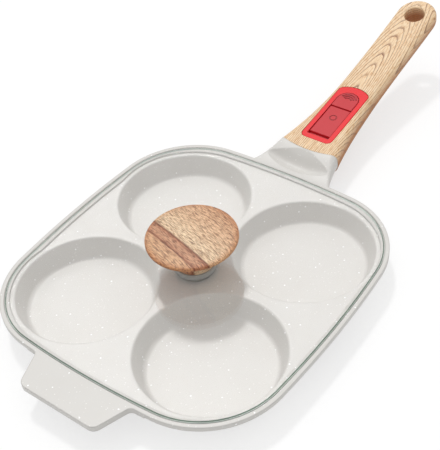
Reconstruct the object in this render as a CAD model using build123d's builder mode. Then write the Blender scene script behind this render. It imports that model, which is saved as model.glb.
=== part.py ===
from build123d import *
from math import atan2, cos, degrees, radians, sin, sqrt
import os

# Every length is in millimetres.
# The pan's middle on the hob is the origin, +Y runs to the handle and +Z is up.

# Lid glass: a rounded square with slightly bowed sides
lid_half_x = 110.0
lid_half_y = 114.3
lid_side_fall_x = 8.0
lid_side_fall_y = 7.4
lid_corner_radius = 57.8
glass_thickness = 4.0
glass_edge_bevel = 0.9
glass_hole_radius = 4.0

# Deck and rim of the pan
deck_height = 18.7
deck_thickness = 3.0
ledge_rise = 1.2
ledge_width = 3.5
lid_side_gap = 0.45
rim_wall = 2.85
rim_above_ledge = 3.2
rim_face_height = 3.5
flange_turn_in = 6.3

# Four egg cups
cup_pitch_x = 105.4
cup_pitch_y = 108.5
well_mouth_radius = 49.9
well_floor_radius = 44.3
well_floor_height = 3.0
well_floor_round = 3.6
well_mouth_round = 1.6
cup_wall = 2.5
cup_bottom_round = 5.5
cup_stand_off = 0.3

# Steel induction disc under each cup
disc_radius = 40.0
disc_thickness = 1.0
disc_edge_gap = 0.2

# Dimple in the middle of the deck, which clears the lid's screw head
dimple_radius = 12.0
dimple_wall = 2.4
dimple_floor_gap = 0.8
dimple_floor_round = 1.2

# Helper tab opposite the handle
tab_root_half_width = 41.5
tab_end_half_width = 31.0
tab_root_inset = 2.3
tab_reach = 26.7
tab_thickness = 4.4
tab_corner_radius = 6.5
tab_root_radius = 4.0

# Handle line: it leaves the pan's neck here and climbs at this angle
joint_clear_of_lid = 25.7
joint_z = 29.2
handle_tilt = 7.2
joint_gap = 0.3

# Grip: its crest is a shallow hollow arc, its belly is flat under the latch
grip_joint_half_width = 25.2
grip_joint_corner_reach = 4.0
grip_waist_half_width = 16.9
grip_waist_reach = 85.0
grip_end_half_width = 17.0
grip_crest_radius = 1100.0
grip_crest_low_reach = 42.0
grip_crest_dip = 0.4
grip_front_depth = 20.5
grip_flat_belly_reach = 46.0
grip_slim_reach = 100.0
grip_slim_depth = 17.5
grip_end_depth = 18.2
grip_end_centre_reach = 174.0
grip_top_round = 4.8
grip_bottom_round = 10.5
hang_hole_setback = 2.6
hang_hole_radius = 8.3
hang_hole_round = 1.2

# Neck: cast with the pan, from under the deck to the joint
neck_length = 31.0
neck_depth = 19.3
neck_root_drop = 3.6
neck_top_round = 4.8
neck_belly_round = 12.0
scoop_dish_radius = 60.0
scoop_depth = 9.0
scoop_low_reach = 13.0
scoop_front_reach = 21.5
scoop_rear_reach = 0.8

# Tongue plate that the grip slides over
tongue_half_width = 11.0
tongue_thickness = 3.0
tongue_inner_reach = 14.0
tongue_outer_reach = 42.0
tongue_depth = 14.0
tongue_corner_radius = 3.0
tongue_slot_gap = 0.1
tongue_screw_radius = 1.95
tongue_screw_head_radius = 3.6
tongue_screw_head_height = 1.6
tongue_screw_sink = 0.3
tongue_screw_x = 6.0
tongue_screw_reach = 7.0
tongue_screw_end_margin = 0.4
thread_gap = 0.05

# Socket liner inside the grip
liner_side_wall = 2.2
liner_top_wall = 1.6
liner_bottom_wall = 1.2
liner_front_reach = 2.6
liner_end_wall = 3.0
running_gap = 0.3
seat_gap = 0.1

# Red release cover let into the grip's crest
cover_front_reach = 11.7
cover_corner_reach = 72.0
cover_end_reach = 77.0
cover_half_width = 13.5
cover_corner_radius = 4.5
cover_thickness = 2.2
cover_edge_round = 0.6
cover_gap = 0.15
cover_hook_half_width = 6.0
cover_hook_length = 1.5
cover_hook_thickness = 1.0
window_front_reach = 16.3
window_half_width = 9.4
window_dome_reach = 60.6
cover_boss_x = 9.2
cover_boss_reach = 71.0
cover_boss_radius = 2.2
cover_boss_length = 5.5
cover_screw_radius = 1.3
cover_screw_head_radius = 2.7
cover_screw_head_height = 1.8
cover_screw_well_depth = 7.0
cover_screw_bite = 4.2

# Pocket under the cover
pocket_depth = 10.5

# Sliding latch and the bolt that it drives
latch_front_reach = 19.6
button_straight_length = 9.5
latch_top_drop = 0.5
latch_flange_overlap = 1.0
latch_apron_overlap = 0.6
latch_flange_thickness = 1.2
latch_travel = 3.0
latch_edge_round = 0.5
latch_ring_radius = 3.0
latch_ring_width = 0.7
latch_ring_setback = 11.7
groove_depth = 0.3
cheek_thickness = 1.5
cheek_inner_half_width = 4.4
cheek_front_reach = 23.0
cheek_rear_reach = 37.0
bolt_reach = 30.0
bolt_half_width = 2.9
bolt_half_length = 3.0
bolt_drop = 2.5
bolt_rest_lift = 0.2
bolt_top_gap = 0.3
bolt_side_gap = 0.1
bolt_edge_chamfer = 0.4
pin_radius = 1.2
pin_slot_gap = 0.08
pin_rest_depth = 6.6
guide_base_thickness = 0.8
guide_post_thickness = 1.5
guide_top_gap = 0.5
guide_foot_length = 3.0
tongue_hole_gap = 0.5

# Push button behind the latch, with its return spring
button_front_gap = 0.4
button_side_gap = 0.3
button_rise = 0.3
button_flange_overlap = 1.0
button_edge_round = 0.5
button_rib_width = 0.9
button_rib_height = 0.4
button_rib_radii_shares = (0.34, 0.56, 0.78)
button_rib_half_angle = 62.0
spring_outer_radius = 3.2
spring_wall = 0.7
spring_stub_gap = 0.3
spring_stub_length = 1.5
spring_top_gap = 0.3

# Knob and what holds it to the glass
collar_radius = 15.2
collar_height = 4.0
collar_edge_round = 0.8
knob_neck_radius = 14.0
knob_neck_height = 5.0
knob_radius = 31.8
knob_height = 25.2
knob_rim_depth = 2.2
knob_rim_round = 1.4
knob_crown = 1.8
knob_flare_share = 0.72
knob_flare_height = 15.1
knob_lip_share = 0.955
knob_lip_height = 20.0
insert_radius = 4.0
insert_length = 12.0
lid_screw_radius = 2.4
lid_screw_head_radius = 4.6
lid_screw_head_height = 2.6
lid_screw_head_round = 0.9
lid_screw_hex_radius = 1.8
lid_screw_hex_depth = 1.5
lid_screw_tip_gap = 1.0
lower_gasket_radius = 8.6
lower_gasket_thickness = 0.8
washer_radius = 7.6
washer_thickness = 0.8

# Cuts run past what they cut by this much, and edges are matched this closely
overrun = 30.0
match_tolerance = 0.01

# Heights and places that follow from the sizes above
deck_underside = deck_height - deck_thickness
ledge_height = deck_height + ledge_rise
rim_top = ledge_height + rim_above_ledge
rim_turn_height = rim_top - rim_face_height
rim_growth = lid_side_gap + rim_wall
glass_underside = ledge_height
glass_top = glass_underside + glass_thickness
cup_places = [(x * cup_pitch_x / 2, y * cup_pitch_y / 2) for x in (-1, 1) for y in (-1, 1)]
cup_top_radius = well_mouth_radius + cup_wall
cup_bottom_radius = well_floor_radius + cup_wall
screw_head_top = glass_underside - lower_gasket_thickness - washer_thickness
screw_head_underside = screw_head_top - lid_screw_head_height
dimple_floor = screw_head_underside - dimple_floor_gap
knob_underside = glass_top + collar_height
knob_top = knob_underside + knob_height
knob_rim_top = knob_top - knob_crown
knob_neck_end = (knob_neck_radius, knob_underside + knob_neck_height)
knob_flare_point = (knob_radius * knob_flare_share, knob_underside + knob_flare_height)
knob_lip_point = (knob_radius * knob_lip_share, knob_underside + knob_lip_height)
tab_root_y = lid_half_y - tab_root_inset
tab_end_y = lid_half_y + tab_reach
joint_y = lid_half_y + joint_clear_of_lid
grip_tip_reach = grip_end_centre_reach + grip_end_half_width
hang_hole_reach = grip_end_centre_reach - hang_hole_setback
joint_corner_span = grip_joint_half_width**2 + grip_joint_corner_reach**2
joint_arc_radius = joint_corner_span / (2 * grip_joint_corner_reach)
tongue_screw_places = [(side * tongue_screw_x, -tongue_screw_reach) for side in (-1, 1)]
tongue_underside = tongue_depth + tongue_thickness
liner_channel_top = tongue_depth - running_gap
liner_channel_bottom = tongue_underside + running_gap
liner_top = liner_channel_top - liner_top_wall
liner_bottom = liner_channel_bottom + liner_bottom_wall
liner_channel_half_width = tongue_half_width + running_gap
liner_half_width = liner_channel_half_width + liner_side_wall
liner_channel_end = tongue_outer_reach + running_gap
liner_rear_reach = liner_channel_end + liner_end_wall
latch_flange_top = cover_thickness + running_gap
latch_flange_bottom = latch_flange_top + latch_flange_thickness
bolt_top = latch_flange_bottom + bolt_top_gap
bolt_bottom = liner_channel_top - bolt_rest_lift
latch_rear_reach = window_dome_reach - button_straight_length
latch_apron_reach = window_front_reach - latch_apron_overlap
latch_ring_reach = latch_rear_reach - latch_ring_setback
button_front_reach = latch_rear_reach + button_front_gap
pocket_half_width = window_half_width + latch_flange_overlap + running_gap
pocket_front_reach = latch_apron_reach - latch_travel - running_gap
latch_half_width = window_half_width - button_side_gap
cover_boss_places = [(side * cover_boss_x, cover_boss_reach) for side in (-1, 1)]
cover_screw_seat_depth = grip_front_depth - cover_screw_well_depth
pin_slot_run = sqrt(latch_travel**2 + bolt_drop**2)
pin_slot_angle = degrees(atan2(bolt_drop, latch_travel))
pin_slot_middle = (bolt_reach + latch_travel / 2, -pin_rest_depth - bolt_drop / 2)

# Frame of the handle: X across, Y along the handle, Z square to its crest
handle_along = Vector(0, cos(radians(handle_tilt)), sin(radians(handle_tilt)))
handle_up = Vector(0, -sin(radians(handle_tilt)), cos(radians(handle_tilt)))
handle_plane = Plane(origin=(0, joint_y, joint_z), x_dir=(1, 0, 0), z_dir=handle_up)
handle_side_plane = Plane(origin=(0, joint_y, joint_z), x_dir=handle_along, z_dir=(1, 0, 0))


def lid_outline(growth):
    """The lid's outline seen from above, grown outwards all round."""
    corner_x = lid_half_x - lid_side_fall_x + growth
    corner_y = lid_half_y - lid_side_fall_y + growth
    side_x = lid_half_x + growth
    side_y = lid_half_y + growth
    with BuildSketch(mode=Mode.PRIVATE) as outline:
        with BuildLine():
            ThreePointArc((corner_x, -corner_y), (side_x, 0), (corner_x, corner_y))
            ThreePointArc((corner_x, corner_y), (0, side_y), (-corner_x, corner_y))
            ThreePointArc((-corner_x, corner_y), (-side_x, 0), (-corner_x, -corner_y))
            ThreePointArc((-corner_x, -corner_y), (0, -side_y), (corner_x, -corner_y))
        make_face()
        fillet(outline.vertices(), lid_corner_radius + growth)
    return outline.sketch


def crest_height(reach):
    """Height of the grip's crest over the handle plane, this far along the handle."""
    run = reach - grip_crest_low_reach
    return grip_crest_radius - sqrt(grip_crest_radius**2 - run**2) - grip_crest_dip


def crest_direction(reach):
    """Direction of the grip's crest in its side view, this far along the handle."""
    run = reach - grip_crest_low_reach
    return (sqrt(grip_crest_radius**2 - run**2), run)


def cover_outline(growth):
    """The release cover seen square to the crest, grown outwards all round."""
    half_width = cover_half_width + growth
    front = cover_front_reach - growth
    corner = cover_corner_reach + growth
    end = cover_end_reach + growth
    with BuildSketch(mode=Mode.PRIVATE) as outline:
        with BuildLine():
            Polyline((-half_width, corner), (-half_width, front), (half_width, front), (half_width, corner))
            ThreePointArc((half_width, corner), (0, end), (-half_width, corner))
        make_face()
        fillet(outline.vertices(), cover_corner_radius + growth)
    return outline.sketch


hang_hole_tilt = atan2(*reversed(crest_direction(hang_hole_reach)))
hang_hole_plane = Plane(
    origin=handle_plane.from_local_coords((0, hang_hole_reach, crest_height(hang_hole_reach))),
    x_dir=(1, 0, 0),
    z_dir=handle_up * cos(hang_hole_tilt) - handle_along * sin(hang_hole_tilt),
)


def is_grip_outline(edge):
    """True for the long edges round the grip's crest and belly, behind the joint."""
    place = handle_plane.to_local_coords(edge.center())
    return edge.geom_type != GeomType.LINE and place.Y > grip_joint_corner_reach


def is_above_belly(edge):
    """True in the upper half of the grip, whose middle climbs with the crest."""
    place = handle_plane.to_local_coords(edge.center())
    return place.Z > crest_height(place.Y) - grip_slim_depth / 2


def is_round_the_hang_hole(edge):
    """True for an edge that runs round a mouth of the hang hole."""
    ends = [hang_hole_plane.to_local_coords(edge @ share) for share in (0, 1 / 4, 1 / 2)]
    reaches = [Vector(end.X, end.Y).length for end in ends]
    on_the_hole = all(abs(reach - hang_hole_radius) < match_tolerance for reach in reaches)
    return on_the_hole and edge.geom_type != GeomType.LINE


def grip_rib(radius):
    """One raised thumb arc of the button, bulging to the rear."""
    with BuildSketch(mode=Mode.PRIVATE) as rib:
        with BuildLine():
            CenterArc((0, window_dome_reach), radius, 90 - button_rib_half_angle, 2 * button_rib_half_angle)
        trace(line_width=button_rib_width)
    return rib.sketch


def tombstone(half_width, front, dome_reach):
    """A plate with a square front and a round rear end, centred on the handle."""
    with BuildSketch(mode=Mode.PRIVATE) as outline:
        with BuildLine():
            Polyline(
                (-half_width, dome_reach),
                (-half_width, front),
                (half_width, front),
                (half_width, dome_reach),
            )
            ThreePointArc((half_width, dome_reach), (0, dome_reach + half_width), (-half_width, dome_reach))
        make_face()
    return outline.sketch


def neck_section(half_width, top, belly, top_round, belly_round):
    """One cross-section of the neck, with rounded corners."""
    crest = (half_width - top_round, top)
    side_top = (half_width, top - top_round)
    side_foot = (half_width, belly + belly_round)
    belly_corner = (half_width - belly_round, belly)
    with BuildSketch(mode=Mode.PRIVATE) as section:
        with BuildLine():
            right_side = [
                RadiusArc(crest, side_top, top_round),
                Line(side_top, side_foot),
                RadiusArc(side_foot, belly_corner, belly_round),
            ]
            for side_line in right_side:
                add(side_line.mirror(Plane.YZ))
            Line((-crest[0], top), crest)
            Line(belly_corner, (-belly_corner[0], belly))
        make_face()
    return section.sketch


def save(part, name):
    """Label a finished piece and write it."""
    part.label = name
    export_step(part, f"parts/{name}.step")


os.makedirs("parts", exist_ok=True)

# Pan body: deck, rim, cups, helper tab and neck, cast in one
# Neck sections from the joint to under the deck, each with its reach, half width,
# top drop, belly depth, top round and belly round
neck_section_shares = (
    (0.23, 1.00, -0.11, 1.00, 1.00, 0.90),
    (-0.03, 1.03, -0.11, 1.00, 1.00, 0.90),
    (-0.35, 1.14, 0.60, 1.00, 0.65, 1.00),
    (-0.645, 1.28, 1.02, 0.78, 0.35, 0.70),
    (-1.00, 1.67, 0.66, 0.50, 0.30, 0.35),
)

# Space that the lid takes up, above its ledge and above the deck
with BuildPart() as lid_recess:
    with BuildSketch(Plane.XY.offset(ledge_height)):
        add(lid_outline(lid_side_gap))
    extrude(amount=overrun)
    with BuildSketch(Plane.XY.offset(deck_height)):
        add(lid_outline(-ledge_width))
    extrude(amount=overrun)


def round_hollow(floor_radius, mouth_radius, floor_height, floor_round):
    """The space inside a round hollow of the deck, with its rounded floor and mouth."""
    mouth = (mouth_radius, deck_height)
    lip = (mouth_radius + 2 * well_mouth_round, deck_height)
    top = deck_height + ledge_rise
    with BuildPart() as hollow:
        with BuildSketch(Plane.XZ) as profile:
            Polygon(
                (0, floor_height),
                (floor_radius, floor_height),
                mouth,
                lip,
                (lip[0], top),
                (0, top),
                align=None,
            )
            fillet(profile.vertices().sort_by_distance((floor_radius, floor_height))[0], floor_round)
            fillet(profile.vertices().sort_by_distance((mouth_radius, deck_height))[0], well_mouth_round)
        revolve(axis=Axis.Z)
    return hollow.part


with BuildPart() as pan_body:
    with BuildSketch(Plane.XY.offset(rim_turn_height)):
        add(lid_outline(rim_growth))
    extrude(amount=rim_face_height)
    with BuildSketch(Plane.XY.offset(rim_turn_height)):
        add(lid_outline(rim_growth))
    with BuildSketch(Plane.XY.offset(deck_underside)):
        add(lid_outline(rim_growth - flange_turn_in))
    loft(ruled=True)
    with Locations(*[(x, y, cup_stand_off) for x, y in cup_places]):
        Cone(
            cup_bottom_radius,
            cup_top_radius,
            deck_height - cup_stand_off,
            align=(Align.CENTER, Align.CENTER, Align.MIN),
        )
    fillet(pan_body.edges().filter_by_position(Axis.Z, cup_stand_off, cup_stand_off), cup_bottom_round)
    with Locations((0, 0, dimple_floor - dimple_wall)):
        Cylinder(
            dimple_radius + dimple_wall,
            deck_height - dimple_floor + dimple_wall,
            align=(Align.CENTER, Align.CENTER, Align.MIN),
        )
    with BuildSketch(Plane.XY.offset(rim_top)) as tab_outline:
        add(lid_outline(rim_growth))
        Polygon(
            (-tab_root_half_width, -tab_root_y),
            (-tab_end_half_width, -tab_end_y),
            (tab_end_half_width, -tab_end_y),
            (tab_root_half_width, -tab_root_y),
            align=None,
        )
        fillet(tab_outline.vertices().group_by(Axis.Y)[1], tab_root_radius)
        fillet(tab_outline.vertices().group_by(Axis.Y)[0], tab_corner_radius)
        with Locations((0, -tab_root_y)):
            Rectangle(
                2 * tab_root_half_width + 4 * tab_root_radius,
                overrun + tab_end_y - tab_root_y,
                align=(Align.CENTER, Align.MAX),
                mode=Mode.INTERSECT,
            )
    extrude(amount=-tab_thickness)

    # Neck from under the deck to the joint, scooped out behind the rim
    for reach, width, drop, belly, top_round, belly_round in neck_section_shares:
        section_centre = handle_plane.from_local_coords((0, neck_length * reach, 0))
        with BuildSketch(Plane(section_centre, x_dir=(-1, 0, 0), z_dir=handle_along)):
            add(
                neck_section(
                    grip_joint_half_width * width,
                    -neck_root_drop * drop,
                    -neck_depth * belly,
                    neck_top_round * top_round,
                    neck_belly_round * belly_round,
                )
            )
    loft()
    with BuildSketch(handle_side_plane):
        with BuildLine():
            scoop_axis_height = scoop_dish_radius - scoop_depth
            scoop_rear = (-scoop_rear_reach, crest_height(-scoop_rear_reach))
            scoop_front = (-scoop_front_reach, -neck_root_drop)
            Spline(
                scoop_rear,
                (-scoop_low_reach, -scoop_depth),
                scoop_front,
                tangents=((-2, -1), (-1, 1)),
            )
            Polyline(
                scoop_front,
                (-scoop_front_reach, scoop_axis_height),
                (-scoop_rear_reach, scoop_axis_height),
                scoop_rear,
            )
        make_face()
    scoop_axis_start = handle_side_plane.from_local_coords((0, scoop_axis_height, 0))
    revolve(axis=Axis(scoop_axis_start, handle_along), mode=Mode.SUBTRACT)

    # Recess for the lid, egg wells, dimple and seats for the induction discs
    add(lid_recess.part, mode=Mode.SUBTRACT)
    with Locations(*cup_places):
        add(
            round_hollow(well_floor_radius, well_mouth_radius, well_floor_height, well_floor_round),
            mode=Mode.SUBTRACT,
        )
    add(round_hollow(dimple_radius, dimple_radius, dimple_floor, dimple_floor_round), mode=Mode.SUBTRACT)
    with Locations(*[(x, y, cup_stand_off) for x, y in cup_places]):
        Cylinder(
            disc_radius + disc_edge_gap,
            disc_thickness - cup_stand_off,
            align=(Align.CENTER, Align.CENTER, Align.MIN),
            mode=Mode.SUBTRACT,
        )

    # Hollow joint face, the slot for the tongue and its two screw holes
    with BuildSketch(handle_plane.offset(-overrun)):
        with Locations((0, joint_arc_radius)):
            Circle(joint_arc_radius + joint_gap)
    extrude(amount=2 * overrun, mode=Mode.SUBTRACT)
    with BuildSketch(handle_plane.offset(-tongue_underside)):
        with Locations((0, -tongue_inner_reach - tongue_slot_gap)):
            Rectangle(
                2 * (tongue_half_width + tongue_slot_gap),
                overrun,
                align=(Align.CENTER, Align.MIN),
            )
    extrude(amount=tongue_thickness + tongue_slot_gap, mode=Mode.SUBTRACT)
    with BuildSketch(handle_plane.offset(-tongue_underside)):
        with Locations(*tongue_screw_places):
            Circle(tongue_screw_radius + thread_gap)
    extrude(amount=-overrun, mode=Mode.SUBTRACT)
    with BuildSketch(handle_plane.offset(-neck_depth + tongue_screw_sink + tongue_screw_head_height)):
        with Locations(*tongue_screw_places):
            Circle(tongue_screw_head_radius + seat_gap)
    extrude(amount=-overrun, mode=Mode.SUBTRACT)

save(pan_body.part, "pan_body")

# Induction discs, one pressed into the underside of each cup
for number, (x, y) in enumerate(cup_places, start=1):
    with BuildPart() as induction_disc:
        with BuildSketch(Plane((x, y, 0))):
            Circle(disc_radius)
        extrude(amount=disc_thickness)
    save(induction_disc.part, f"induction_disc_{number}")

# Tongue plate, screwed into the neck, with the hole that the bolt drops into
with BuildPart() as tongue_plate:
    with BuildSketch(handle_plane.offset(-tongue_underside)) as tongue_outline:
        with Locations((0, -tongue_inner_reach)):
            Rectangle(
                2 * tongue_half_width,
                tongue_inner_reach + tongue_outer_reach,
                align=(Align.CENTER, Align.MIN),
            )
        fillet(tongue_outline.vertices(), tongue_corner_radius)
        with Locations((0, bolt_reach)):
            Rectangle(
                2 * (bolt_half_width + tongue_hole_gap),
                2 * (bolt_half_length + tongue_hole_gap),
                mode=Mode.SUBTRACT,
            )
        with Locations(*tongue_screw_places):
            Circle(tongue_screw_radius + thread_gap, mode=Mode.SUBTRACT)
    extrude(amount=tongue_thickness)

save(tongue_plate.part, "tongue_plate")

# Two screws that come up through the neck into the tongue
with BuildPart() as tongue_screws:
    with BuildSketch(handle_plane.offset(-neck_depth + tongue_screw_sink)):
        with Locations(*tongue_screw_places):
            Circle(tongue_screw_head_radius)
    extrude(amount=tongue_screw_head_height)
    with BuildSketch(handle_plane.offset(-tongue_depth - tongue_screw_end_margin)):
        with Locations(*tongue_screw_places):
            Circle(tongue_screw_radius)
    extrude(amount=-(neck_depth - tongue_screw_sink - tongue_depth - tongue_screw_end_margin))

save(tongue_screws.part, "tongue_screws")

# Lid glass with ground edges and a hole for the knob's screw
with BuildPart() as lid_glass:
    with BuildSketch(Plane.XY.offset(glass_underside)):
        add(lid_outline(0))
    extrude(amount=glass_thickness)
    chamfer(lid_glass.edges().filter_by(Plane.XY), glass_edge_bevel)
    with BuildSketch(Plane.XY.offset(glass_underside)):
        Circle(glass_hole_radius)
    extrude(amount=glass_thickness, mode=Mode.SUBTRACT)

save(lid_glass.part, "lid_glass")

# Silicone collar between knob and glass
with BuildPart() as knob_collar:
    with BuildSketch(Plane.XY.offset(glass_top)):
        Circle(collar_radius)
    extrude(amount=collar_height)
    fillet(knob_collar.edges().sort_by(Axis.Z)[-1], collar_edge_round)
    with BuildSketch(Plane.XY.offset(glass_top)):
        Circle(lid_screw_radius + running_gap)
    extrude(amount=collar_height, mode=Mode.SUBTRACT)

save(knob_collar.part, "knob_collar")

# Turned wooden knob, bored from below for its insert
with BuildPart() as knob:
    with BuildSketch(Plane.XZ) as knob_profile:
        with BuildLine():
            Polyline((0, knob_underside), (knob_neck_radius, knob_underside), knob_neck_end)
            Spline(knob_neck_end, knob_flare_point, knob_lip_point, tangents=((0, 1), (2, 1)))
            Polyline(
                knob_lip_point,
                (knob_radius, knob_rim_top - knob_rim_depth),
                (knob_radius, knob_rim_top),
            )
            TangentArc((0, knob_top), (knob_radius, knob_rim_top), tangent=(1, 0))
            Line((0, knob_top), (0, knob_underside))
        make_face()
        fillet(knob_profile.vertices().group_by(Axis.X)[-1].sort_by(Axis.Y)[-1], knob_rim_round)
    revolve(axis=Axis.Z)
    with BuildSketch(Plane.XY.offset(knob_underside)):
        Circle(insert_radius)
    extrude(amount=insert_length, mode=Mode.SUBTRACT)

save(knob.part, "knob")


def ring(base_height, outer_radius, inner_radius, height):
    """A flat ring on the knob's axis."""
    with BuildPart() as flat_ring:
        with BuildSketch(Plane.XY.offset(base_height)):
            Circle(outer_radius)
            Circle(inner_radius, mode=Mode.SUBTRACT)
        extrude(amount=height)
    return flat_ring.part


# Threaded insert in the knob, gasket and washer under the glass
save(ring(knob_underside, insert_radius, lid_screw_radius + thread_gap, insert_length), "knob_insert")
save(
    ring(
        glass_underside - lower_gasket_thickness,
        lower_gasket_radius,
        lid_screw_radius + running_gap,
        lower_gasket_thickness,
    ),
    "lower_gasket",
)
save(ring(screw_head_top, washer_radius, lid_screw_radius + running_gap, washer_thickness), "knob_washer")

# Screw that clamps glass, collar and knob together
with BuildPart() as knob_screw:
    with BuildSketch(Plane.XY.offset(screw_head_underside)):
        Circle(lid_screw_head_radius)
    extrude(amount=lid_screw_head_height)
    fillet(knob_screw.edges().sort_by(Axis.Z)[0], lid_screw_head_round)
    with BuildSketch(Plane.XY.offset(screw_head_underside)):
        RegularPolygon(lid_screw_hex_radius, 6)
    extrude(amount=lid_screw_hex_depth, mode=Mode.SUBTRACT)
    with BuildSketch(Plane.XY.offset(screw_head_top)):
        Circle(lid_screw_radius)
    extrude(amount=knob_underside + insert_length - lid_screw_tip_gap - screw_head_top)

save(knob_screw.part, "knob_screw")

# Grip: plan outline and side profile meet in one wooden bar
with BuildPart() as handle_grip:
    with BuildSketch(handle_plane.offset(-overrun)):
        with BuildLine():
            flank_start = (grip_joint_half_width, grip_joint_corner_reach)
            waist = (grip_waist_half_width, grip_waist_reach)
            end_start = (grip_end_half_width, grip_end_centre_reach)
            ThreePointArc((-flank_start[0], flank_start[1]), (0, 0), flank_start)
            TangentArc(waist, flank_start, tangent=(0, -1))
            Line(waist, end_start)
            ThreePointArc(end_start, (0, grip_tip_reach), (-end_start[0], end_start[1]))
            Line((-end_start[0], end_start[1]), (-waist[0], waist[1]))
            TangentArc((-waist[0], waist[1]), (-flank_start[0], flank_start[1]), tangent=(0, -1))
        make_face()
    extrude(amount=2 * overrun)
    with BuildSketch(handle_side_plane.offset(-overrun)):
        with BuildLine():
            front_top = (-overrun, crest_height(-overrun))
            rear_top = (grip_tip_reach + overrun, crest_height(grip_tip_reach + overrun))
            rear_bottom = (rear_top[0], rear_top[1] - grip_end_depth)
            ThreePointArc(front_top, (grip_crest_low_reach, -grip_crest_dip), rear_top)
            Line(rear_top, rear_bottom)
            Spline(
                (grip_flat_belly_reach, -grip_front_depth),
                (grip_slim_reach, crest_height(grip_slim_reach) - grip_slim_depth),
                (grip_tip_reach, crest_height(grip_tip_reach) - grip_end_depth),
                rear_bottom,
                tangents=((1, 0), crest_direction(rear_top[0])),
            )
            Polyline((grip_flat_belly_reach, -grip_front_depth), (-overrun, -grip_front_depth), front_top)
        make_face()
    extrude(amount=2 * overrun, mode=Mode.INTERSECT)
    outline_edges = handle_grip.edges().filter_by(is_grip_outline)
    fillet(outline_edges.filter_by(is_above_belly), grip_top_round)
    outline_edges = handle_grip.edges().filter_by(is_grip_outline)
    fillet(outline_edges.filter_by(is_above_belly, reverse=True), grip_bottom_round)

    # Recess for the cover, with the undercut for its hook
    with BuildSketch(handle_plane.offset(-cover_thickness)):
        add(cover_outline(cover_gap))
    extrude(amount=overrun, mode=Mode.SUBTRACT)
    with BuildSketch(handle_plane.offset(-cover_thickness)):
        with Locations((0, cover_front_reach - cover_hook_length - cover_gap)):
            Rectangle(
                2 * (cover_hook_half_width + cover_gap),
                2 * cover_hook_length,
                align=(Align.CENTER, Align.MIN),
            )
    extrude(amount=cover_hook_thickness + cover_gap, mode=Mode.SUBTRACT)

    # Pocket for latch and button, slot for the liner, wells for the cover screws
    with BuildSketch(handle_plane.offset(-pocket_depth)):
        add(tombstone(pocket_half_width, pocket_front_reach, window_dome_reach))
    extrude(amount=pocket_depth, mode=Mode.SUBTRACT)
    with BuildSketch(handle_plane.offset(-liner_top)):
        with Locations((0, pocket_front_reach)):
            Rectangle(
                2 * pocket_half_width,
                liner_rear_reach - pocket_front_reach,
                align=(Align.CENTER, Align.MIN),
            )
    extrude(amount=liner_top, mode=Mode.SUBTRACT)
    with BuildSketch(handle_plane.offset(-liner_bottom - seat_gap)):
        Rectangle(
            2 * (liner_half_width + seat_gap),
            liner_rear_reach + seat_gap,
            align=(Align.CENTER, Align.MIN),
        )
        with Locations((0, -overrun)):
            Rectangle(
                2 * (liner_half_width + seat_gap),
                overrun,
                align=(Align.CENTER, Align.MIN),
            )
    extrude(amount=liner_bottom - liner_top + 2 * seat_gap, mode=Mode.SUBTRACT)
    with BuildSketch(handle_plane.offset(-cover_thickness - cover_boss_length - seat_gap)):
        with Locations(*cover_boss_places):
            Circle(cover_boss_radius + cover_gap)
    extrude(amount=cover_boss_length + seat_gap, mode=Mode.SUBTRACT)
    with BuildSketch(handle_plane.offset(-cover_thickness)):
        with Locations(*cover_boss_places):
            Circle(cover_screw_radius + running_gap)
    extrude(amount=-overrun, mode=Mode.SUBTRACT)
    with BuildSketch(handle_plane.offset(-cover_screw_seat_depth)):
        with Locations(*cover_boss_places):
            Circle(cover_screw_head_radius + running_gap)
    extrude(amount=-overrun, mode=Mode.SUBTRACT)

    # Hang hole, square to the crest where it is
    with BuildSketch(hang_hole_plane.offset(-overrun)):
        Circle(hang_hole_radius)
    extrude(amount=2 * overrun, mode=Mode.SUBTRACT)
    hole_mouths = handle_grip.edges().filter_by(is_round_the_hang_hole)
    fillet(hole_mouths, hang_hole_round)

save(handle_grip.part, "handle_grip")

# Socket liner: the channel that the tongue slides into, bonded in the grip
with BuildPart() as socket_liner:
    with BuildSketch(handle_plane.offset(-liner_bottom)):
        with Locations((0, liner_front_reach)):
            Rectangle(
                2 * liner_half_width,
                liner_rear_reach - liner_front_reach,
                align=(Align.CENTER, Align.MIN),
            )
    extrude(amount=liner_bottom - liner_top)
    with BuildSketch(handle_plane.offset(-liner_channel_bottom)):
        Rectangle(
            2 * liner_channel_half_width,
            liner_channel_end,
            align=(Align.CENTER, Align.MIN),
        )
    extrude(amount=liner_channel_bottom - liner_channel_top, mode=Mode.SUBTRACT)
    with BuildSketch(handle_plane.offset(-liner_channel_top)):
        with Locations((0, bolt_reach)):
            Rectangle(2 * (bolt_half_width + bolt_side_gap), 2 * (bolt_half_length + bolt_side_gap))
    extrude(amount=overrun, mode=Mode.SUBTRACT)

save(socket_liner.part, "socket_liner")

# Guide that keeps the bolt upright: a foot on the liner and two posts
with BuildPart() as bolt_guide:
    guide_half_width = cheek_inner_half_width - running_gap
    guide_inner = bolt_half_length + bolt_side_gap
    guide_outer = guide_inner + guide_post_thickness
    with BuildSketch(handle_plane.offset(-liner_top)):
        with Locations((0, bolt_reach)):
            Rectangle(2 * guide_half_width, 2 * (guide_outer + guide_foot_length))
            Rectangle(2 * (bolt_half_width + bolt_side_gap), 2 * guide_inner, mode=Mode.SUBTRACT)
    extrude(amount=guide_base_thickness)
    with BuildSketch(handle_plane.offset(-liner_top)):
        with Locations((0, bolt_reach)):
            Rectangle(2 * guide_half_width, 2 * guide_outer)
            Rectangle(2 * guide_half_width, 2 * guide_inner, mode=Mode.SUBTRACT)
    extrude(amount=liner_top - latch_flange_bottom - guide_top_gap)

save(bolt_guide.part, "bolt_guide")

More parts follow.
